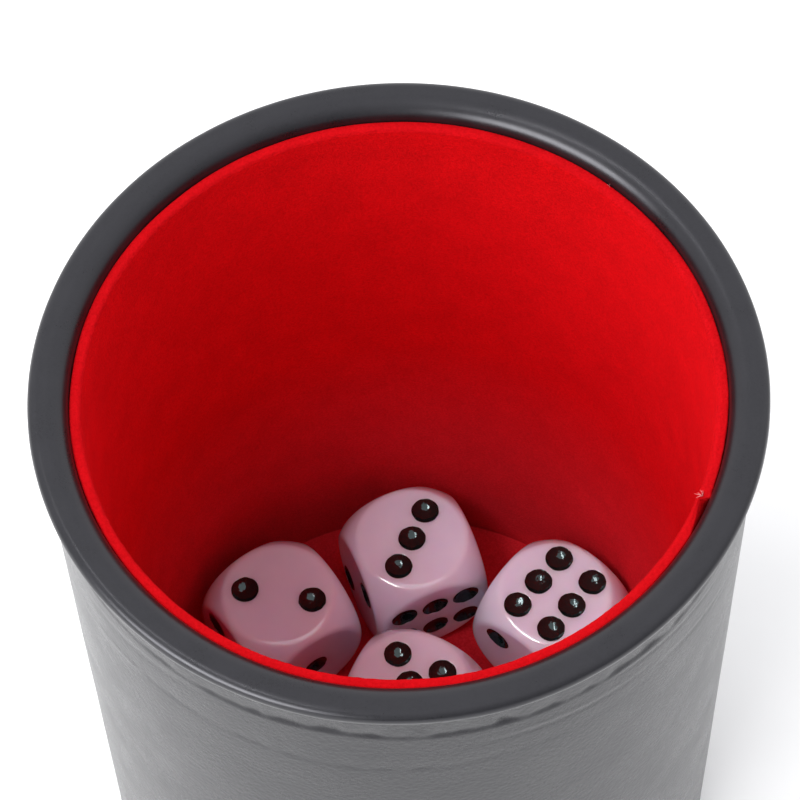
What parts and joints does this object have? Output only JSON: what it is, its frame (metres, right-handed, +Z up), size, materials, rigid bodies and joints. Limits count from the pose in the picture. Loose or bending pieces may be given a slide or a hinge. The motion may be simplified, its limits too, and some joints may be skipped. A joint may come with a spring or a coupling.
{
  "type": "leather dice cup",
  "caption": "Straight round dice cup of board covered in dark leather, with a folded leather rim and a red felt lining, holding loose round-cornered dice.",
  "frame": {"origin": "centre of the underside, on the table", "axes": "+Z up along the cup's axis, out of its mouth; -Y towards the front, +Y towards the leather's seam"},
  "size_m": [0.08, 0.08, 0.098],
  "materials": {
    "body_leather": "fine-grained matte leather, soft creases under the rim",
    "rim_leather": "smooth satin leather stretched over the rim",
    "base_leather": "fine-grained matte leather",
    "felt": "red flocked felt",
    "greyboard": "plain grey board",
    "card": "plain thin card",
    "die_plastic": "polished, slightly translucent lilac plastic",
    "pip_paint": "glossy black paint"
  },
  "bodies": {
    "cup": {"board_tube": "greyboard", "base_board": "greyboard", "base_card": "card", "base_leather": "base_leather", "leather_wrap": "body_leather", "rim_band": "rim_leather", "lining_card": "card", "felt_wall": "felt", "floor_card": "card", "felt_floor": "felt"},
    "three_die": {"die_three_up": "die_plastic", "pips_three_up": "pip_paint"},
    "six_die": {"die_six_up": "die_plastic", "pips_six_up": "pip_paint"},
    "two_die": {"die_two_up": "die_plastic", "pips_two_up": "pip_paint"},
    "five_die": {"die_five_up": "die_plastic", "pips_five_up": "pip_paint"}
  },
  "joints": [
    {"name": "lift_three_die", "type": "slide", "parent": "cup", "child": "three_die", "axis": [0, 0, 1], "range_m": [0, 0.1]},
    {"name": "lift_six_die", "type": "slide", "parent": "cup", "child": "six_die", "axis": [0, 0, 1], "range_m": [0, 0.1]},
    {"name": "lift_two_die", "type": "slide", "parent": "cup", "child": "two_die", "axis": [0, 0, 1], "range_m": [0, 0.1]},
    {"name": "lift_five_die", "type": "slide", "parent": "cup", "child": "five_die", "axis": [0, 0, 1], "range_m": [0, 0.1]}
  ]
}
